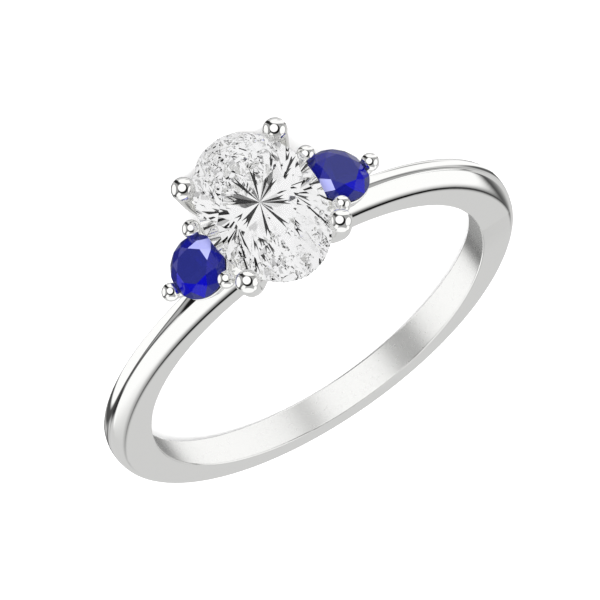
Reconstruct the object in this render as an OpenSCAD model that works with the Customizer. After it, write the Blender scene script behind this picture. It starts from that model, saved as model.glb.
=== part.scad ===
// Three-stone ring: a narrow domed band that carries a four-claw centre head with an oval
// brilliant, and on each side of it a leaning cup with three ball-tipped prongs and a round
// brilliant. The ring lies on its side: the far end of the oval stone and the back edge of
// the band touch the floor. The head looks towards -Y, the floor is z = 0. Millimetres.

/* [Band] */
// Radius of the finger hole
bore_r = 8.45; // [8.2:0.05:8.7]
// Thickness of the metal at the two sides of the finger hole
band_t = 1.82; // [1.7:0.02:1.9]
// Shift of the outer circle towards the head, which makes the band thicker there
band_shift = 0.57; // [0.5:0.01:0.64]
// Width of the band opposite the head
band_w = 1.57; // [1.4:0.01:1.7]
// Width of the band under the head
neck_w = 0.84; // [0.75:0.01:1]
// Radius of the dome across the outside of the band
dome_r = 1; // [0.95:0.01:1.2]

/* [Centre stone] */
// Width of the oval brilliant, across the finger's length
oval_w = 5; // [4.9:0.02:5.1]
// Length of the oval brilliant, along the finger
oval_l = 7.24; // [7.1:0.02:7.4]
// Height of its girdle above the centre of the finger hole
oval_y = 13.45; // [13.4:0.01:13.6]

/* [Side stones] */
// Diameter of each round brilliant
round_d = 2.65; // [2.56:0.01:2.7]
// Sideways place of its girdle's centre
round_x = 3.43; // [3.4:0.01:3.5]
// Height of its girdle's centre above the centre of the finger hole
round_y = 11.98; // [11.95:0.01:12.1]
// Lean of its axis away from the centre stone
round_lean = 27.9; // [26:0.1:29]

/* [Claws] */
// Radius of the ball on each of the four large claws
claw_ball_r = 0.51; // [0.48:0.01:0.53]
// Sideways place of the large balls
claw_x = 2.23; // [2.2:0.01:2.26]
// Place of the large balls along the finger
claw_z = 2.5; // [2.47:0.01:2.55]
// Radius of the ball on each of the six small prongs
prong_ball_r = 0.39; // [0.36:0.01:0.41]
// Distance of the small balls from the axis of their stone
prong_r = 1.57; // [1.55:0.01:1.6]

/* [Hidden] */
$fn = 48;
// Gap between each stone and the metal that holds it.
seat_gap = 0.03;
outer_r = bore_r + band_t;
dome_h = dome_r - sqrt(dome_r * dome_r - band_w * band_w / 4);
claw_y = oval_y + 0.17;
// Proportions of a brilliant, as parts of its width.
table_part = 0.57;
crown_part = 0.15;
girdle_part = 0.03;
pavilion_part = 0.431;
// Resting lean: the floor touches the oval's lower girdle edge and the band's back corner.
touch_front = [oval_y - oval_w * girdle_part / 2, oval_l / 2];
touch_back = [outer_r - band_shift - dome_h, band_w / 2];
lean = atan((touch_front[1] - touch_back[1]) / (touch_front[0] + touch_back[0]));
lift = touch_back[0] * sin(lean) + touch_back[1] * cos(lean);
// Half way between the table's front edge and the back of the band.
table_y = oval_y + oval_w * (girdle_part / 2 + crown_part);
front_y = table_y * cos(lean) + oval_l / 2 * table_part * sin(lean);
back_y = (outer_r - band_shift - dome_r) * cos(lean) + dome_r;
middle_y = (front_y - back_y) / 2;
gold = [0.86, 0.86, 0.85];
clear = [0.95, 0.96, 0.98];
blue = [0.06, 0.08, 0.55];

// Lays the ring, drawn with its head along +Y and the finger along Z, on the floor.
module laid() {
  translate([0, middle_y, lift])
    rotate([0, 0, 180])
      rotate([lean, 0, 0])
        children();
}

// A tapered round bar from one point to another.
module bar(p, q, rp, rq) {
  d = q - p;
  translate(p)
    rotate([0, acos(d[2] / norm(d)), atan2(d[1], d[0])])
      cylinder(h = norm(d), r1 = rp, r2 = rq);
}

// A bent tapered bar through a list of points, with a ball a little proud at each bend.
module bent_bar(points, radii) {
  for (i = [0 : len(points) - 2])
    bar(points[i], points[i + 1], radii[i], radii[i + 1]);
  for (i = [1 : len(points) - 2])
    translate(points[i])
      sphere(r = radii[i] * 1.02);
}

// Domed section of the band, drawn as radius against width.
function dome_point(a) = [outer_r - dome_r + dome_r * cos(a), dome_r * sin(a)];
dome_half = asin(min(0.99, band_w / 2 / dome_r));
dome_steps = 7;
band_section = concat(
  [[bore_r - 1.2, -band_w / 2]],
  [for (i = [-dome_steps : dome_steps]) dome_point(dome_half * i / dome_steps)],
  [[bore_r - 1.2, band_w / 2]]
);

// Side outline of the band, tapering evenly from mid height up to the head.
band_side = [
  [-14, -band_w / 2], [-6, -band_w / 2], [5, -neck_w / 2], [14, -neck_w / 2],
  [14, neck_w / 2], [5, neck_w / 2], [-6, band_w / 2], [-14, band_w / 2]
];

// Band with its outer circle shifted towards the head and a true round finger hole.
module band() {
  difference() {
    intersection() {
      translate([0, band_shift, 0])
        rotate_extrude($fn = 180)
          polygon(band_section);
      rotate([0, -90, 0])
        linear_extrude(height = 30, center = true)
          polygon([for (p = band_side) [p[1], p[0]]]);
    }
    cylinder(h = 8, r = bore_r, center = true, $fn = 180);
  }
}

// Point of a cubic curve drawn from the ball past two guide points to the foot on the band.
claw_guides = [
  [claw_x, claw_y, claw_z], [claw_x, claw_y - 1.27, claw_z],
  [claw_x * 0.73, claw_y - 2.32, claw_z * 0.69], [claw_x * 0.2, claw_y - 3.15, claw_z * 0.1]
];
function claw_point(t) =
  pow(1 - t, 3) * claw_guides[0] + 3 * t * pow(1 - t, 2) * claw_guides[1]
  + 3 * t * t * (1 - t) * claw_guides[2] + pow(t, 3) * claw_guides[3];

// The four large claws run down from their balls and inwards under the stone.
module centre_head() {
  for (sx = [-1, 1])
    for (sz = [-1, 1]) {
      path = [
        for (t = [0, 0.3, 0.55, 0.78, 1])
          let (p = claw_point(t)) [sx * p[0], p[1], sz * p[2]]
      ];
      translate(path[0])
        sphere(r = claw_ball_r);
      bent_bar(path, claw_ball_r * [0.9, 0.86, 0.8, 0.75, 0.7]);
    }
}

// Puts a thing drawn along Z over the middle of a side stone's girdle.
module at_side(side) {
  translate([side * round_x, round_y, 0])
    rotate([0, 0, -side * round_lean])
      rotate([-90, 0, 0])
        rotate([0, 0, side > 0 ? 0 : 180])
          children();
}

// A side head: a bowl that narrows down to the band, and three ball-tipped prongs.
cup_r = round_d / 2 + 0.02;
bowl = [
  [0, -1.75], [cup_r * 0.46, -1.75], [cup_r * 0.72, -1.15], [cup_r * 0.9, -0.7],
  [cup_r * 0.97, -0.4], [cup_r, -0.2], [cup_r - 0.05, -0.14], [0, -0.14]
];
module side_head(side) {
  at_side(side) {
    rotate_extrude()
      polygon(bowl);
    for (a = [0, 120, 240])
      rotate([0, 0, a]) {
        translate([prong_r, 0, 0.12])
          sphere(r = prong_ball_r);
        bar([prong_r, 0, 0.12], [prong_r * 0.5, 0, -1.7], prong_ball_r * 0.86, prong_ball_r * 0.7);
      }
  }
}

// Points of a brilliant of width 1, eight-fold: table, kites, halves, girdle and pavilion.
// Each kite and each main facet is flat, so the tips of the halves lie on their planes.
edge_n = 32;
table_r = table_part / 2;
girdle_z = girdle_part / 2;
half_turn = 22.5;
star_r = table_r * cos(half_turn) + 0.55 * (0.5 - table_r * cos(half_turn));
star_z = girdle_z + crown_part * (1 - (star_r * cos(half_turn) - table_r) / (0.5 - table_r));
lower_r = 0.115;
lower_z = -girdle_z - 2 * pavilion_part * (0.5 - lower_r * cos(half_turn));
function ring_points(n, r, z, turn) =
  [for (i = [0 : n - 1]) [r * cos(360 * i / n + turn), r * sin(360 * i / n + turn), z]];
function brilliant_points(turn) = concat(
  ring_points(8, table_r, girdle_z + crown_part, turn),
  ring_points(8, star_r, star_z, turn + half_turn),
  ring_points(edge_n, 0.5, girdle_z, turn),
  ring_points(edge_n, 0.5, -girdle_z, turn),
  ring_points(8, lower_r, lower_z, turn + half_turn),
  [[0, 0, -girdle_z - pavilion_part]]
);
// Indices of the first point of each ring.
s0 = 8;
g0 = 16;
l0 = 16 + edge_n;
p0 = 16 + 2 * edge_n;
c0 = p0 + 8;
step = edge_n / 8;
function at(base, i, n) = base + (i + n) % n;
brilliant_faces = concat(
  [[for (i = [7 : -1 : 0]) i]],
  [for (i = [0 : 7]) [i, at(0, i + 1, 8), at(s0, i, 8)]],
  [for (i = [0 : 7]) [i, at(s0, i, 8), at(g0, i * step, edge_n)]],
  [for (i = [0 : 7]) [i, at(g0, i * step, edge_n), at(s0, i - 1, 8)]],
  [for (i = [0 : 7]) for (k = [0 : step - 1])
    [at(s0, i, 8), at(g0, i * step + k + 1, edge_n), at(g0, i * step + k, edge_n)]],
  [for (i = [0 : edge_n - 1])
    [at(g0, i, edge_n), at(g0, i + 1, edge_n), at(l0, i + 1, edge_n), at(l0, i, edge_n)]],
  [for (i = [0 : 7]) for (k = [0 : step - 1])
    [at(p0, i, 8), at(l0, i * step + k, edge_n), at(l0, i * step + k + 1, edge_n)]],
  [for (i = [0 : 7]) [at(p0, i - 1, 8), at(p0, i, 8), c0]],
  [for (i = [0 : 7]) [at(p0, i - 1, 8), at(l0, i * step, edge_n), at(p0, i, 8)]]
);

// A brilliant of a given width and length, turned half a facet on its axis, its girdle in the
// plane z = 0, grown by a gap.
module brilliant(w, l, gap) {
  wide = w + 2 * gap;
  long = l + 2 * gap;
  pts = [for (p = brilliant_points(half_turn)) [p[0] * wide, p[1] * long, p[2] * wide]];
  polyhedron(points = pts, faces = [for (f = brilliant_faces) [for (i = [len(f) - 1 : -1 : 0]) f[i]]]);
}

module oval_stone(gap) {
  translate([0, oval_y, 0])
    rotate([-90, 0, 0])
      brilliant(oval_w, oval_l, gap);
}

module round_stone(side) {
  at_side(side)
    brilliant(round_d, round_d, 0);
}

// Turned seat that a round stone sits in, a gap larger than the stone all over.
module round_seat(side) {
  r = round_d / 2 + seat_gap;
  g = round_d * girdle_part / 2 + seat_gap;
  at_side(side)
    rotate_extrude()
      polygon([
        [0, -g - round_d * pavilion_part], [round_d * 0.06, -g - round_d * pavilion_part],
        [r, -g], [r, g], [r * 0.6, g + round_d * crown_part], [r * 0.4, g + 1.2], [0, g + 1.2]
      ]);
}

// Band and heads are soldered into one solid, with a notch or a seat for each stone.
module ring_mount() {
  color(gold)
    laid()
      difference() {
        union() {
          band();
          centre_head();
          side_head(-1);
          side_head(1);
        }
        cylinder(h = 8, r = bore_r, center = true, $fn = 180);
        oval_stone(seat_gap);
        round_seat(-1);
        round_seat(1);
      }
}

module centre_stone() {
  color(clear)
    laid()
      oval_stone(0);
}

module left_sapphire() {
  color(blue)
    laid()
      round_stone(-1);
}

module right_sapphire() {
  color(blue)
    laid()
      round_stone(1);
}

ring_mount();
centre_stone();
left_sapphire();
right_sapphire();
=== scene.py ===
import bpy
import numpy as np
from mathutils import Matrix


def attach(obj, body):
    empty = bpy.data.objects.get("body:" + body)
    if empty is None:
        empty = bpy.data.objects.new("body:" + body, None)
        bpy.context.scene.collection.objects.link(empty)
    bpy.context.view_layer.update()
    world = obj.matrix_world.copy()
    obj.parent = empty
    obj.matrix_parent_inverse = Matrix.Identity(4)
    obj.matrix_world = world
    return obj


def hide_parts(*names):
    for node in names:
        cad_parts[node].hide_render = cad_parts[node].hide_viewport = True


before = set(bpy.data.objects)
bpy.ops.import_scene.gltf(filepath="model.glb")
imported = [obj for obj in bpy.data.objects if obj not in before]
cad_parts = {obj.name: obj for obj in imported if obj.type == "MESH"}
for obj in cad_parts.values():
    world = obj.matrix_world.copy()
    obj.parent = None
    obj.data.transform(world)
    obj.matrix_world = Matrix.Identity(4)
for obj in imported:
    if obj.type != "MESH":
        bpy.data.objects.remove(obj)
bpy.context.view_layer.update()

# The band
# The band is one bar of polished white gold, bent round and soldered under the head. Its inside is
# turned true to the finger, its sides are flat, and its outside is a low dome between flanks that
# lean in. It narrows from the back of the finger up to the head, where it is deepest.
BORE = 8.45  # radius of the finger hole, mm
OUTER = 10.27  # radius of the outside, whose centre lies SHIFT nearer to the head
SHIFT = 0.57
LEAN = np.radians(7.12051)  # tip of the lying ring about X
LIFT = 1.93416  # height of the middle of the finger hole above the floor
MIDDLE = 2.39389  # its place along Y, as the origin lies under the middle of the whole ring


def laid(p):
    """A ring drawn upright (head +Y, finger Z, mm) is tipped by LEAN about X, turned half round
    about the vertical, and lifted on to the floor, in metres."""
    y = p[..., 1] * np.cos(LEAN) - p[..., 2] * np.sin(LEAN)
    z = p[..., 1] * np.sin(LEAN) + p[..., 2] * np.cos(LEAN)
    return np.stack([-p[..., 0], MIDDLE - y, z + LIFT], -1) * 0.001


def wound(points, faces):
    """Faces turned over when six times the volume, the sum of a . (b x c) over fans, is negative."""
    total = 0.0
    for n in {len(f) for f in faces}:
        part = np.array([f for f in faces if len(f) == n])
        for k in range(1, n - 1):
            a, b, c = points[part[:, 0]], points[part[:, k]], points[part[:, k + 1]]
            total += float((a * np.cross(b, c)).sum())
    return faces if total > 0 else [f[::-1] for f in faces]


def shell(rows, round_rows=False):
    """Quads between a grid's rows and columns. Columns close on themselves; rows do when asked,
    and otherwise each end row is closed by a fan to its own middle."""
    n, m = rows.shape[:2]
    i = np.arange(n if round_rows else n - 1)[:, None]
    j = np.arange(m)[None, :]
    a, b = i * m + j, i * m + (j + 1) % m
    c, d = ((i + 1) % n) * m + (j + 1) % m, ((i + 1) % n) * m + j
    faces = [tuple(f) for f in np.stack([a, b, c, d], -1).reshape(-1, 4).tolist()]
    points = rows.reshape(-1, 3)
    if not round_rows:
        k = np.arange(m)
        low = np.stack([np.full(m, n * m), (k + 1) % m, k], -1)
        high = np.stack([np.full(m, n * m + 1), (n - 1) * m + k, (n - 1) * m + (k + 1) % m], -1)
        faces += [tuple(f) for f in np.vstack([low, high]).tolist()]
        points = np.vstack([points, rows[0].mean(0), rows[-1].mean(0)])
    return points, wound(points, faces)


def made(name, shells, smooth=True):
    """One mesh object, in place, out of several closed shells."""
    points, faces, start = [], [], 0
    for p, f in shells:
        points.append(laid(p))
        faces += [tuple(i + start for i in face) for face in f]
        start += len(p)
    mesh = bpy.data.meshes.new(name)
    mesh.from_pydata(np.vstack(points).tolist(), [], faces)
    mesh.validate()
    mesh.polygons.foreach_set("use_smooth", np.full(len(mesh.polygons), smooth))
    piece = bpy.data.objects.new(name, mesh)
    bpy.context.scene.collection.objects.link(piece)
    return piece


def band_width(y):
    """Width at height y: neck above the height start, and below it growing by growth on the
    smooth curve 3 t^2 - 2 t^3 over the run down to the back."""
    neck, growth, start, run = 0.86, 0.71, 6.5, 17.0
    t = np.clip((start - y) / run, 0, 1)
    return neck + growth * t * t * (3 - 2 * t)


def band_surface(turns=720):
    """At angle t from the head, a closed D: flat bore side, small round inner edge, flat side, a
    flank that leans in on a long arc, a small round shoulder, and a round crest of the radius that
    fills the width. The outer point is reach = s cos t + sqrt(R^2 - (s sin t)^2) from the axis,
    for an outer circle of radius R moved by s. From slope a0 to slope a an arc of radius r goes
    r (sin a - sin a0) outwards and r (cos a0 - cos a) down, and each arc starts at the slope at
    which the last one ends. The flank is tall beside the head and low at the back."""
    t = np.linspace(0, 2 * np.pi, turns, endpoint=False)[:, None]
    reach = SHIFT * np.cos(t) + np.sqrt(OUTER**2 - (SHIFT * np.sin(t)) ** 2)
    wall_middle, fuller = BORE + 0.9, 0.07
    half = band_width(wall_middle * np.cos(t)) / 2 + fuller * np.clip(np.cos(t), 0, 1)
    inner = 0.05
    least_shoulder, more_shoulder = 0.085, 0.10
    shoulder = least_shoulder + more_shoulder * (1 - np.clip(np.cos(t) + 0.4, 0, 1))
    crest_end, flank_end = np.radians(20.5), np.radians(76.9)
    # 1 at the head, falling smoothly to nearly 0 over the back half
    front = np.clip((np.cos(t) + np.sqrt(np.cos(t) ** 2 + 0.01)) / 2, 0, 1)
    least_flank, more_flank, flank_fade = 0.14, 1.54, 1.5
    flank = least_flank + more_flank * (1 - (1 - front) ** flank_fade)
    flank_r = flank / np.cos(flank_end)
    lean_in = flank_r * (1 - np.sin(flank_end)) + shoulder * (np.sin(flank_end) - np.sin(crest_end))
    crest_r = (half - lean_in) / np.sin(crest_end)
    q = np.linspace(0, np.pi / 2, 7)[None, :]
    crest = np.linspace(crest_end, 0, 12)[None, :]
    turn = np.linspace(flank_end, crest_end, 10)[None, :]
    side = np.linspace(np.pi / 2, flank_end, 20)[None, :]
    crest_z, crest_drop = crest_r * np.sin(crest), crest_r * (1 - np.cos(crest))
    turn_z = crest_z[:, :1] + shoulder * (np.sin(turn) - np.sin(crest_end))
    turn_drop = crest_drop[:, :1] + shoulder * (np.cos(crest_end) - np.cos(turn))
    side_z = turn_z[:, :1] + flank_r * (np.sin(side) - np.sin(flank_end))
    side_drop = turn_drop[:, :1] + flank_r * (np.cos(flank_end) - np.cos(side))
    # Half the outline as radius and width, from the middle of the bore side to the crest
    bore_parts = np.array([0.0, 0.5, 0.9, 0.97])[None, :]
    side_parts = np.array([0.03, 0.1, 0.5, 0.9, 0.97])[None, :]
    r = np.hstack(
        [
            BORE + 0 * bore_parts + 0 * t,
            BORE + inner * (1 - np.cos(q)) + 0 * t,
            BORE + inner + (reach - side_drop[:, :1] - BORE - inner) * side_parts,
            reach - side_drop,
            reach - turn_drop[:, 1:-1],
            reach - crest_drop,
        ]
    )
    z = np.hstack(
        [
            (half - inner) * bore_parts,
            half - inner + inner * np.sin(q),
            half + 0 * side_parts,
            side_z,
            turn_z[:, 1:-1],
            crest_z,
        ]
    )
    r = np.hstack([r, r[:, -2:0:-1]])
    z = np.hstack([z, -z[:, -2:0:-1]])
    return np.stack([r * np.sin(t), r * np.cos(t), z], -1)


def polished_gold(name, scratch, tone, rough=(0.01, 0.03), ripples=0.012):
    """White gold: a mirror with a faint warm tone, hairline wear that roughens it a little,
    and a very low ripple left by the buffing wheel."""
    material = bpy.data.materials.new(name)
    material.use_nodes = True
    tree = material.node_tree
    shader = tree.nodes["Principled BSDF"]
    shader.inputs["Metallic"].default_value = 1.0
    place = tree.nodes.new("ShaderNodeTexCoord")
    wear = tree.nodes.new("ShaderNodeTexNoise")
    wear.inputs["Scale"].default_value = scratch
    wear.inputs["Detail"].default_value = 6.0
    tree.links.new(place.outputs["Object"], wear.inputs["Vector"])
    haze = tree.nodes.new("ShaderNodeMapRange")
    haze.inputs["From Min"].default_value = 0.35
    haze.inputs["From Max"].default_value = 0.75
    haze.inputs["To Min"].default_value = rough[0]
    haze.inputs["To Max"].default_value = rough[1]
    tree.links.new(wear.outputs["Fac"], haze.inputs["Value"])
    tree.links.new(haze.outputs["Result"], shader.inputs["Roughness"])
    tint = tree.nodes.new("ShaderNodeMix")
    tint.data_type = "RGBA"
    tint.inputs["A"].default_value = (*tone, 1.0)
    tint.inputs["B"].default_value = (*(c * 0.97 for c in tone), 1.0)
    tree.links.new(wear.outputs["Fac"], tint.inputs["Factor"])
    tree.links.new(tint.outputs["Result"], shader.inputs["Base Color"])
    ripple = tree.nodes.new("ShaderNodeTexNoise")
    ripple.inputs["Scale"].default_value = scratch * 0.25
    ripple.inputs["Detail"].default_value = 2.0
    tree.links.new(place.outputs["Object"], ripple.inputs["Vector"])
    bump = tree.nodes.new("ShaderNodeBump")
    bump.inputs["Strength"].default_value = ripples
    bump.inputs["Distance"].default_value = 0.00002
    tree.links.new(ripple.outputs["Fac"], bump.inputs["Height"])
    tree.links.new(bump.outputs["Normal"], shader.inputs["Normal"])
    return material


GOLD_TONE = (0.93, 0.93, 0.915)
white_gold = polished_gold("white_gold", 9000.0, GOLD_TONE)
band = made("band", [shell(band_surface(), round_rows=True)])
band.data.materials.append(white_gold)
# The faces of the bore, those no further from the finger's axis than BORE, are satin from wear.
worn_gold = polished_gold("worn_gold", 5000.0, GOLD_TONE, rough=(0.26, 0.28), ripples=0.005)
band.data.materials.append(worn_gold)
face_middle = np.zeros(len(band.data.polygons) * 3)
band.data.polygons.foreach_get("center", face_middle)
face_middle = face_middle.reshape(-1, 3) * 1000 - np.array([0, MIDDLE, LIFT])
axis = np.array([0, np.sin(LEAN), np.cos(LEAN)])
from_axis = np.linalg.norm(face_middle - np.outer(face_middle @ axis, axis), axis=1)
tolerance = 0.004
bore_face = from_axis < BORE + tolerance
band.data.polygons.foreach_set("material_index", bore_face.astype(np.int32))
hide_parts("ring_mount")
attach(band, "root")

# The four claws of the centre head
# Each claw is a round wire of the same gold, soldered to the band under the stone. It leans out
# and rises beside the stone, and its end is melted or pressed to a polished ball over the edge.
CLAW = (2.23, 13.62, 2.5)  # middle of the ball: across, up and along the finger, mm
CLAW_BALL = 0.51  # its radius


def wire(centre, radius, around=40):
    """A round tube: centre(s) + radius(s) (u cos a + v sin a), u and v square to the path."""
    along = np.gradient(centre, axis=0)
    along /= np.linalg.norm(along, axis=1)[:, None]
    spare = np.cross(centre[-1] - centre[0], [0.0, 1.0, 0.0])
    u = np.cross(along, spare)
    u /= np.linalg.norm(u, axis=1)[:, None]
    v = np.cross(along, u)
    a = np.linspace(0, 2 * np.pi, around, endpoint=False)
    ring = u[:, None] * np.cos(a)[None, :, None] + v[:, None] * np.sin(a)[None, :, None]
    return centre[:, None] + radius[:, None, None] * ring


def ball(centre, radius, around=72, rows=36):
    """A closed ball: centre + radius (cos a sin b, cos b, sin a sin b), with a point at each pole."""
    b = np.linspace(0, np.pi, rows + 1)[1:-1, None]
    a = np.linspace(0, 2 * np.pi, around, endpoint=False)[None, :]
    p = np.stack([np.cos(a) * np.sin(b), np.cos(b) + 0 * a, np.sin(a) * np.sin(b)], -1)
    points, faces = shell(centre + radius * p)
    points[-2], points[-1] = centre + [0, radius, 0], centre - [0, radius, 0]
    return points, faces


def curve(p0, p1, p2, p3, steps=48):
    """From p0 to p3, drawn towards p1 and p2: (1-t)^3 p0 + 3t(1-t)^2 p1 + 3t^2(1-t) p2 + t^3 p3."""
    t = np.linspace(0, 1, steps)[:, None]
    return (1 - t) ** 3 * p0 + 3 * t * (1 - t) ** 2 * p1 + 3 * t * t * (1 - t) * p2 + t**3 * p3


claws = []
for sx in (-1, 1):
    for sz in (-1, 1):
        flip = np.array([sx, 1, sz])
        top = np.array(CLAW) * flip
        below_ball = np.array([2.24, 12.35, 2.5]) * flip
        under_stone = np.array([1.62, 11.3, 1.72]) * flip
        foot = np.array([0.45, 10.47, 0.25]) * flip
        path = curve(top, below_ball, under_stone, foot)
        thick = np.interp(np.linspace(0, 1, len(path)), [0, 0.3, 1], [0.455, 0.44, 0.36])
        claws += [ball(top, CLAW_BALL), shell(wire(path, thick))]
centre_claws = made("centre_claws", claws)
centre_claws.data.materials.append(white_gold)
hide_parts("ring_mount")
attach(centre_claws, "root")

# The two side heads
# Beside the centre stone a turned cup of the same gold leans outwards on the band, bored out to
# the round stone's shape. Three thin wires stand against it, each with a polished ball over the
# stone's edge: one outwards along the band, two towards the centre stone.
SIDE = (3.43, 11.98)  # middle of the round stone's edge, mm across and up
SIDE_LEAN = np.radians(27.9)  # lean of its axis away from the centre stone
ROUND = 2.65  # width of the round stone
PRONG = 1.57  # middle of a prong's ball from the stone's axis
PRONG_TOP, PRONG_FOOT = 0.12, -1.7  # height of that ball and of the prong's foot along the axis
PRONG_BALL = 0.39


def beside(side, p):
    """Points drawn about a side stone's axis: x outwards along the band, y along the finger,
    z up the axis from the middle of the stone's edge."""
    out = np.array([side * np.cos(SIDE_LEAN), -np.sin(SIDE_LEAN), 0])
    up = np.array([side * np.sin(SIDE_LEAN), np.cos(SIDE_LEAN), 0])
    base = np.array([side * SIDE[0], SIDE[1], 0])
    return base + p[..., :1] * out + p[..., 1:2] * np.array([0, 0, 1.0]) + p[..., 2:3] * up


def turned(profile, around=96):
    """A profile of (radius, height) turned about the z axis."""
    a = np.linspace(0, 2 * np.pi, around, endpoint=False)[None, :]
    r, h = profile[:, :1], profile[:, 1:2]
    return np.stack([r * np.cos(a), r * np.sin(a), h + 0 * a], -1)


# The cup as radius and height: up the outside from the foot, over the rim, and down the bored seat.
cup_out = ROUND / 2 + 0.02
cup_profile = np.array(
    [
        [cup_out * 0.44, -1.75], [cup_out * 0.47, -1.73], [cup_out * 0.72, -1.15], [cup_out * 0.9, -0.7],
        [cup_out * 0.97, -0.4], [cup_out, -0.2], [cup_out - 0.01, -0.155], [cup_out - 0.05, -0.14],
        [ROUND / 2 - 0.09, -0.14], [ROUND / 2 - 0.12, -0.16], [0.35, -1.02], [0.05, -1.2],
    ]
)
side_metal = []
for side in (-1, 1):
    side_metal.append(shell(beside(side, turned(cup_profile))))
    for angle in np.radians([0, 120, 240]):
        c, s = np.cos(angle), np.sin(angle)
        tip = beside(side, np.array([PRONG * c, PRONG * s, PRONG_TOP]))
        foot = beside(side, np.array([PRONG * 0.5 * c, PRONG * 0.5 * s, PRONG_FOOT]))
        path = tip + (foot - tip) * np.linspace(0, 1, 8)[:, None]
        thick = np.linspace(0.335, 0.27, len(path))
        side_metal += [ball(tip, PRONG_BALL), shell(wire(path, thick, around=32))]
side_heads = made("side_heads", side_metal)
side_heads.data.materials.append(white_gold)
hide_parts("ring_mount")
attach(side_heads, "root")

# The oval centre stone
# A colourless brilliant-cut stone, ground flat facet by facet: a table, eight stars, eight kites
# and sixteen upper halves above its edge, eight mains and sixteen lower halves below it. In each
# main lies an opaque near-black arrow, a painted reflection of the dark camera that the mains of a real
# one mirror.
OVAL = (5.0, 7.24)
OVAL_HEIGHT = 13.45  # middle of its edge above the finger's axis


def brilliant(width, length, turn, angle, table=0.285, low_tip=0.115, shear=(0, 0), arrow=None):
    """A round brilliant of diameter 1 stretched to width x length. Kite planes fall from the table
    corners to the edge, mains rise from the point at the given angle, and each half facet is the
    plane through its tip and two points of the edge, so its foot on the edge is a shallow scallop.
    Below the edge every point moves sideways by shear times its depth. An arrow (end, notch, half
    width) is cut out of each main: from the point, widening to its notched end. Returns points,
    faces and the places of the arrows among the faces."""
    crown, edge, star_part, steps = 0.15, 0.03, 0.55, 8
    slope = crown / (0.5 - table)
    deep = np.tan(np.radians(angle))
    eighth = np.radians(45.0)
    table_z = edge / 2 + crown
    star_r = table * np.cos(eighth / 2) + star_part * (0.5 - table * np.cos(eighth / 2))
    star_z = table_z - slope * (star_r * np.cos(eighth / 2) - table)
    tip_z = -edge / 2 - deep * (0.5 - low_tip * np.cos(eighth / 2))
    a = np.arange(16 * steps) * eighth / (2 * steps)
    rim = np.stack([0.5 * np.cos(a), 0.5 * np.sin(a)], -1)

    def rim_height(tip_r, tip_h, level):
        """Height of the plane through a tip at 22.5 degrees and the edge at 0 and 22.5, at each
        step between; the other half facets are its mirror images and turns."""
        f = np.linspace(0, eighth / 2, steps + 1)
        p0 = np.array([0.5, 0, level])
        p1 = np.array([0.5 * np.cos(eighth / 2), 0.5 * np.sin(eighth / 2), level])
        p2 = np.array([tip_r * np.cos(eighth / 2), tip_r * np.sin(eighth / 2), tip_h])
        n = np.cross(p1 - p0, p2 - p0)
        h = level - (n[0] * (0.5 * np.cos(f) - 0.5) + n[1] * 0.5 * np.sin(f)) / n[2]
        return np.tile(np.concatenate([h[:-1], h[:0:-1]]), 8)

    def ring_of(r, z, shift):
        """Eight points at radius r and height z, the first of them at the angle shift."""
        b = np.arange(8) * eighth + shift
        return np.stack([r * np.cos(b), r * np.sin(b), np.full(8, z)], -1)

    points = np.vstack(
        [
            ring_of(table, table_z, 0.0),
            ring_of(star_r, star_z, eighth / 2),
            np.column_stack([rim, rim_height(star_r, star_z, edge / 2)]),
            np.column_stack([rim, rim_height(low_tip, tip_z, -edge / 2)]),
            ring_of(low_tip, tip_z, eighth / 2),
            [[0, 0, -edge / 2 - deep * 0.5]],
        ]
    )
    # First numbers of the table, star tips, upper edge, lower edge, lower tips and the point.
    n = 16 * steps
    T, S, G, L, P, C = 0, 8, 16, 16 + n, 16 + 2 * n, 24 + 2 * n
    faces = [tuple(range(8))]
    for k in range(8):
        upper = [G + (2 * steps * k + j) % n for j in range(2 * steps + 1)]
        lower = [L + (2 * steps * k + j) % n for j in range(2 * steps + 1)]
        before = (k - 1) % 8
        main = [(C, P + k, lower[0], P + before)] if arrow is None else []
        faces += [
            (T + k, S + k, T + (k + 1) % 8),
            (T + k, S + before, upper[0], S + k),
            (S + k, *upper[: steps + 1]),
            (S + k, *upper[steps:]),
            *main,
            (P + k, *lower[: steps + 1][::-1]),
            (P + k, *lower[steps:][::-1]),
        ]
    faces += [(L + j, L + (j + 1) % n, G + (j + 1) % n, G + j) for j in range(n)]
    c, s = np.cos(turn), np.sin(turn)
    x, y = points[:, 0] * c - points[:, 1] * s, points[:, 0] * s + points[:, 1] * c
    points = np.stack([x * width, y * length, points[:, 2] * width], -1)
    points[:, :2] += np.clip(-edge / 2 * width - points[:, 2:], 0, None) * np.array(shear)
    dark = []
    # Each arrow is its own facet, which carries a painted reflection: the dark camera that a real
    # stone's mains mirror.
    for k in range(8) if arrow else ():
        end, notch, half = arrow
        point, foot = points[C], points[L + 2 * steps * k]
        across = points[P + k] - points[P + (k - 1) % 8]
        aside = across / np.linalg.norm(across)
        at = len(points)
        points = np.vstack(
            [
                points,
                point + end * (foot - point) + half * aside,
                point + notch * (foot - point),
                point + end * (foot - point) - half * aside,
            ]
        )
        dark.append(len(faces))
        faces += [
            (C, at, at + 1, at + 2),
            (C, P + k, L + 2 * steps * k, at + 1, at),
            (C, at + 2, at + 1, L + 2 * steps * k, P + (k - 1) % 8),
        ]
    inside = np.array([0, 0, -0.1 * width])
    for at, face in enumerate(faces):
        corners = points[list(face)]
        normal = np.cross(corners, np.roll(corners, -1, 0)).sum(0)
        if np.dot(normal, corners.mean(0) - inside) <= 0:
            faces[at] = face[::-1]
    return points, faces, dark


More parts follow.
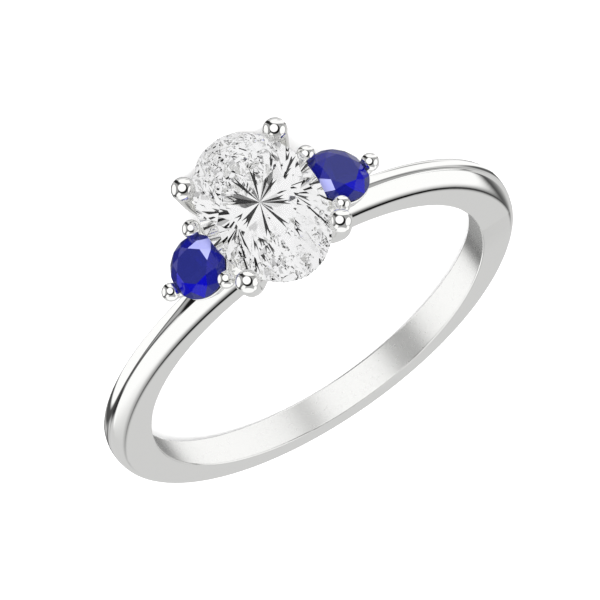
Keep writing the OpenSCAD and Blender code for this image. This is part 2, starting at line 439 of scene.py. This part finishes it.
def cut_gem(name, colour, bend, clear=1.0, glare=0.2):
    """A gem: light bends by its index, and the facets are polished to a mirror with a trace of
    polishing haze. Clear is the share of light that passes, glare the gloss of the outer face."""
    material = bpy.data.materials.new(name)
    material.use_nodes = True
    tree = material.node_tree
    shader = tree.nodes["Principled BSDF"]
    shader.inputs["Transmission Weight"].default_value = clear
    shader.inputs["IOR"].default_value = bend
    shader.inputs["Specular Tint"].default_value = (glare, glare, glare, 1.0)
    place = tree.nodes.new("ShaderNodeTexCoord")
    cloud = tree.nodes.new("ShaderNodeTexNoise")
    cloud.inputs["Scale"].default_value = 700.0
    cloud.inputs["Detail"].default_value = 3.0
    tree.links.new(place.outputs["Object"], cloud.inputs["Vector"])
    tint = tree.nodes.new("ShaderNodeMix")
    tint.data_type = "RGBA"
    tint.inputs["A"].default_value = (*colour, 1.0)
    tint.inputs["B"].default_value = (*(c * 0.96 for c in colour), 1.0)
    tree.links.new(cloud.outputs["Fac"], tint.inputs["Factor"])
    tree.links.new(tint.outputs["Result"], shader.inputs["Base Color"])
    haze = tree.nodes.new("ShaderNodeMapRange")
    haze.inputs["To Min"].default_value = 0.0
    haze.inputs["To Max"].default_value = 0.004
    tree.links.new(cloud.outputs["Fac"], haze.inputs["Value"])
    tree.links.new(haze.outputs["Result"], shader.inputs["Roughness"])
    return material


# Turned and sheared so that its star of mains lies as the photograph shows it.
points, faces, dark = brilliant(
    *OVAL, np.radians(19.0), angle=44.5, low_tip=0.15, shear=(0.03, 0.18), arrow=(0.46, 0.36, 0.10)
)
seat = np.stack([points[:, 0], OVAL_HEIGHT + points[:, 2], -points[:, 1]], -1)
centre = made("centre_brilliant", [(seat, faces)], smooth=False)
centre.data.materials.append(cut_gem("diamond", (0.995, 0.995, 1.0), bend=2.42))
# The arrows are a painted reflection: opaque near-black facets where a real stone's mains mirror the
# dark camera.
centre.data.materials.append(cut_gem("painted_arrow_reflection", (0.012, 0.012, 0.014), bend=1.5, clear=0.0))
material_of = np.zeros(len(faces), np.int32)
material_of[dark] = 1
centre.data.polygons.foreach_set("material_index", material_of)
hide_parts("centre_stone")
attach(centre, "root")

# The two sapphires
# Round brilliants of deep blue sapphire, one in each side cup, cut like the large stone but
# shallower. Their colour is set facet by facet: navy in the table and below the edge, deep blue round
# the table, a painted highlight of livelier blue along one side, and pale painted reflections of the
# white cloth on a few facets.
NAVY, PAINTED_FLASH, DEEP, PAINTED_CLOTH_REFLECTION = range(4)
zone_materials = [
    cut_gem(f"{tone}_sapphire", colour, 1.77, clear, glare)
    for tone, colour, clear, glare in (
        ("navy", (0.016, 0.020, 0.150), 0.55, 0.3),
        ("painted_flash", (0.006, 0.006, 0.75), 0.8, 0.3),
        ("deep", (0.008, 0.010, 0.20), 0.6, 0.3),
        ("painted_cloth_reflection", (0.21, 0.22, 0.44), 0.2, 0.6),
    )
]
# The picture's right and up in the frame of the upright ring. A zone is told by its bearing in the
# picture, in degrees anticlockwise from the right, and by its spread to each side.
picture_right = np.array([0.834, -0.155, 0.529])
picture_up = np.array([0.546, 0.368, -0.752])
for side, name, lively, mirrors in (
    (-1, "left", (250.0, 50.0), (75.0, 24.0)),
    (1, "right", (345.0, 40.0), (225.0, 30.0)),
):
    points, faces, no_arrows = brilliant(ROUND, ROUND, np.radians(22.5), angle=41.5, table=0.29)
    middle = np.array([points[list(f)].mean(0) for f in faces])
    placed = beside(side, middle) - beside(side, np.zeros(3))
    bearing = np.degrees(np.arctan2(placed @ picture_up, placed @ picture_right)) % 360
    crown_facet = middle[:, 2] > 0.02 * ROUND
    crown_facet[0] = False  # the table
    zone = np.where(crown_facet, DEEP, NAVY)
    # The lively and mirror zones are painted light: a painted highlight of bright blue, and pale facets
    # with a painted reflection of the cloth.
    for (way, spread), index in ((lively, PAINTED_FLASH), (mirrors, PAINTED_CLOTH_REFLECTION)):
        near = np.abs((bearing - way + 180) % 360 - 180) < spread
        zone[near & crown_facet] = index
    if side > 0:  # here beside() mirrors the drawing, so its faces are turned over
        faces = [f[::-1] for f in faces]
    stone = made(f"{name}_brilliant", [(beside(side, points), faces)], smooth=False)
    for zone_material in zone_materials:
        stone.data.materials.append(zone_material)
    stone.data.polygons.foreach_set("material_index", zone.astype(np.int32))
    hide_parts(f"{name}_sapphire")
    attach(stone, "root")

# The floor
# A wide sheet of white studio paper, a little uneven in tone, laid flat under the ring. It stays
# out of the mirrors and the stones, which see only the tent.
grid = np.linspace(-0.6, 0.6, 5)
gx, gy = np.meshgrid(grid, grid)
corners = np.stack([gx.ravel(), gy.ravel(), 0 * gx.ravel()], -1)
k = np.arange(20).reshape(4, 5)[:, :4].ravel()
squares = np.stack([k, k + 1, k + 6, k + 5], -1)
paper_mesh = bpy.data.meshes.new("paper")
paper_mesh.from_pydata(corners.tolist(), [], squares.tolist())
paper = bpy.data.objects.new("paper", paper_mesh)
bpy.context.scene.collection.objects.link(paper)
white_paper = bpy.data.materials.new("white_paper")
white_paper.use_nodes = True
sheet = white_paper.node_tree
fibre = sheet.nodes.new("ShaderNodeTexNoise")
fibre.inputs["Scale"].default_value = 60.0
where = sheet.nodes.new("ShaderNodeTexCoord")
sheet.links.new(where.outputs["Object"], fibre.inputs["Vector"])
tone = sheet.nodes.new("ShaderNodeMix")
tone.data_type = "RGBA"
tone.inputs["A"].default_value = (0.93, 0.93, 0.93, 1)
tone.inputs["B"].default_value = (0.96, 0.96, 0.96, 1)
sheet.links.new(fibre.outputs["Fac"], tone.inputs["Factor"])
sheet.links.new(tone.outputs["Result"], sheet.nodes["Principled BSDF"].inputs["Base Color"])
sheet.nodes["Principled BSDF"].inputs["Roughness"].default_value = 0.9
sheet.nodes["Principled BSDF"].inputs["Specular IOR Level"].default_value = 0.1
paper.data.materials.append(white_paper)
paper.visible_glossy = False
paper.visible_transmission = False

# The light tent
# White cloth panels all round the ring, with dark gaps between them, drawn on the sky. A direction
# is told by its place in a mirror ball of radius 1 that the camera looks at: x to the right and y
# down from the middle. EYE is the way to the camera, RIGHT and DOWN lie across it.
EYE = (0.078834, -0.860733, 0.502916)
RIGHT = (-0.834036, 0.219386, 0.506215)
DOWN = (0.546048, 0.459357, 0.700587)
world = bpy.data.worlds.new("tent")
bpy.context.scene.world = world
world.use_nodes = True
sky = world.node_tree
look = sky.nodes.new("ShaderNodeTexCoord").outputs["Generated"]


def vector_math(kind, *values):
    """One step of vector arithmetic in the sky, on tuples or outputs of other steps."""
    node = sky.nodes.new("ShaderNodeVectorMath")
    node.operation = kind
    for socket, value in zip(node.inputs, values):
        if isinstance(value, tuple):
            socket.default_value = value
        else:
            sky.links.new(value, socket)
    return node.outputs["Value" if kind == "DOT_PRODUCT" else "Vector"]


def number_math(kind, *values):
    """One step of plain arithmetic in the sky, on numbers or outputs of other steps."""
    node = sky.nodes.new("ShaderNodeMath")
    node.operation = kind
    for socket, value in zip(node.inputs, values):
        if isinstance(value, (int, float)):
            socket.default_value = value
        else:
            sky.links.new(value, socket)
    return node.outputs["Value"]


mirror = vector_math("NORMALIZE", vector_math("ADD", look, EYE))
across = vector_math("DOT_PRODUCT", mirror, RIGHT)
down = vector_math("DOT_PRODUCT", mirror, DOWN)


def panel(x, y, wide, tall, turn, soft):
    """1 inside an ellipse of half widths wide and tall, turned by turn degrees about (x, y), and
    falling to 0 over a soft edge. With u and v the distances along its axes over the half widths,
    the far number is sqrt(u^2 + v^2), which is 1 on the ellipse."""
    c, s = np.cos(np.radians(turn)), np.sin(np.radians(turn))
    dx, dy = number_math("SUBTRACT", across, x), number_math("SUBTRACT", down, y)

    def blend(a, b):
        """a dx + b dy."""
        return number_math(
            "ADD", number_math("MULTIPLY", dx, float(a)), number_math("MULTIPLY", dy, float(b))
        )

    u, v = blend(c / wide, s / wide), blend(-s / tall, c / tall)
    square = number_math("ADD", number_math("MULTIPLY", u, u), number_math("MULTIPLY", v, v))
    far = number_math("SQRT", square)
    ramp = sky.nodes.new("ShaderNodeMapRange")
    ramp.interpolation_type = "SMOOTHSTEP"
    sky.links.new(far, ramp.inputs["Value"])
    ramp.inputs["From Min"].default_value = 1.0 - soft
    ramp.inputs["From Max"].default_value = 1.0 + soft
    ramp.inputs["To Min"].default_value = 1.0
    ramp.inputs["To Max"].default_value = 0.0
    return ramp.outputs["Result"]


def paint(under, level, mask):
    """Moves the brightness so far to a level where the mask is 1."""
    node = sky.nodes.new("ShaderNodeMix")
    node.data_type = "FLOAT"
    sky.links.new(mask, node.inputs["Factor"])
    for socket, value in (("A", under), ("B", level)):
        if isinstance(value, (int, float)):
            node.inputs[socket].default_value = value
        else:
            sky.links.new(value, node.inputs[socket])
    return node.outputs["Result"]


# Each row is a brightness, then a panel: its place x and y, half widths, turn and soft edge.
light = 0.20
for level, *ellipse in (
    # Cloth nearly all round, greyer towards the camera
    (0.66, 0.020, 0.030, 0.990, 0.990, 0, 0.012),
    (0.42, -0.06, -0.06, 0.72, 0.72, 0, 0.10),
    # Dark gaps at the upper left, the lower left and near the rim
    (0.02, -0.53, -0.60, 0.26, 0.13, 25, 0.3),
    (0.06, -0.34, -0.44, 0.14, 0.12, 0, 0.4),
    (0.02, -0.66, 0.49, 0.14, 0.07, 45, 0.4),
    (0.20, -0.87, 0.51, 0.09, 0.06, 0, 0.5),
    (0.10, 0.78, -0.60, 0.09, 0.11, 0, 0.5),
    # Tall left panel, tall right panel and small lower right panel, each in its dark frame
    (0.08, -0.74, 0.02, 0.225, 0.48, 0, 0.06),
    (1.08, -0.73, 0.00, 0.18, 0.42, 0, 0.06),
    (0.06, 0.60, 0.02, 0.24, 0.39, 10, 0.06),
    (1.08, 0.60, 0.02, 0.21, 0.36, 10, 0.06),
    (0.05, 0.585, 0.50, 0.138, 0.22, 19.5, 0.12),
    (1.08, 0.585, 0.50, 0.120, 0.20, 19.5, 0.05),
    # Top panel with a grey fold, lower left panel, bottom panel
    (1.08, 0.17, -0.67, 0.56, 0.19, 0, 0.06),
    (0.35, 0.30, -0.79, 0.15, 0.025, 0, 0.6),
    (1.08, -0.34, 0.42, 0.20, 0.13, -45, 0.08),
    (1.08, 0.05, 0.665, 0.48, 0.187, 0, 0.07),
    # The seam below the bottom panel, which the band shows as its crease, and the cloth beyond it
    (0.12, 0.5226, 0.7328, 0.13, 0.018, -34, 0.7),
    (0.66, 0.5487, 0.8073, 1.50, 0.0744, -34, 0.08),
    (0.00, 0.5295, 0.7251, 0.12, 0.0045, -34, 0.35),
    # Two narrow gaps between the panels
    (0.06, -0.52, 0.33, 0.03, 0.30, 38, 0.5),
    (0.25, 0.50, -0.44, 0.30, 0.03, 3, 0.5),
    # The dark hood of the camera with the lit cloth inside it
    (0.01, -0.03, -0.06, 0.41, 0.41, 0, 0.06),
    (1.15, -0.09, -0.13, 0.32, 0.32, 0, 0.05),
):
    light = paint(light, level, panel(*ellipse))


def cone(way, half, soft):
    """1 for directions within half degrees of a way, falling to 0 over a soft edge."""
    near = sky.nodes.new("ShaderNodeMapRange")
    near.interpolation_type = "SMOOTHSTEP"
    sky.links.new(vector_math("DOT_PRODUCT", look, way), near.inputs["Value"])
    near.inputs["From Min"].default_value = float(np.cos(np.radians(half + soft)))
    near.inputs["From Max"].default_value = float(np.cos(np.radians(half - soft)))
    return near.outputs["Result"]


# Light that has passed a stone meets a plainer sky, white with round grey and dark patches. The
# shadowed paper is lit evenly, and the camera sees plain white behind the ring. Each row is a
# brightness, then the way to the patch, its half angle and its soft edge.
trip = sky.nodes.new("ShaderNodeLightPath")
through = 0.92
for level, *patch in (
    (0.30, EYE, 8.0, 3.0),
    (0.50, (0.62, -0.35, 0.70), 16.0, 6.0),
    (0.55, (-0.75, -0.50, 0.43), 15.0, 6.0),
    (0.10, (-0.30, -0.40, 0.87), 7.0, 2.0),
    (0.10, (0.85, -0.52, 0.10), 6.0, 2.0),
    (0.45, (0.30, 0.35, 0.89), 20.0, 6.0),
    (0.10, (0.10, 0.75, 0.65), 9.0, 3.0),
    (0.50, (-0.70, 0.30, 0.65), 16.0, 5.0),
    (0.60, (0.30, -0.80, -0.52), 15.0, 6.0),
):
    through = paint(through, level, cone(*patch))
for level, kind in ((through, "Transmission"), (1.15, "Diffuse"), (1.5, "Camera")):
    light = paint(light, level, trip.outputs[f"Is {kind} Ray"])
back = sky.nodes["Background"]
sky.links.new(light, back.inputs["Strength"])
back.inputs["Color"].default_value = (1, 1, 1, 1)

# One round lamp in front of the ring throws the pale shadow, and doesn't show in the mirrors.
lamp = bpy.data.lights.new("soft_box", "AREA")
lamp.shape = "DISK"
lamp.size = 0.25
lamp.energy = 3.0
soft_box = bpy.data.objects.new("soft_box", lamp)
soft_box.location = (0.05, -0.30, 0.20)
soft_box.rotation_euler = soft_box.location.to_track_quat("Z", "Y").to_euler()
soft_box.visible_glossy = False
soft_box.visible_transmission = False
bpy.context.scene.collection.objects.link(soft_box)

# The camera
# At the photograph's angle to the ring: in front of the head, thirty degrees above the floor, and
# rolled as the photograph is. The columns of its matrix are its right, its up, the way back from
# the ring, and its place in metres.
lens = bpy.data.cameras.new("view")
lens.lens = 240.0
lens.sensor_width = 36.0
lens.clip_start = 0.01
camera = bpy.data.objects.new("view", lens)
camera.matrix_world = Matrix(
    (
        (-0.834036, -0.546048, 0.078834, 0.0135218),
        (0.219386, -0.459357, -0.860733, -0.1480241),
        (0.506215, -0.700587, 0.502916, 0.0882993),
        (0, 0, 0, 1),
    )
)
bpy.context.scene.collection.objects.link(camera)
bpy.context.scene.camera = camera
bpy.context.scene.view_settings.view_transform = "Standard"
# Light needs many bounces to find its way out of the stones.
bounces = bpy.context.scene.cycles
bounces.max_bounces = 32
bounces.glossy_bounces = 32
bounces.transmission_bounces = 32
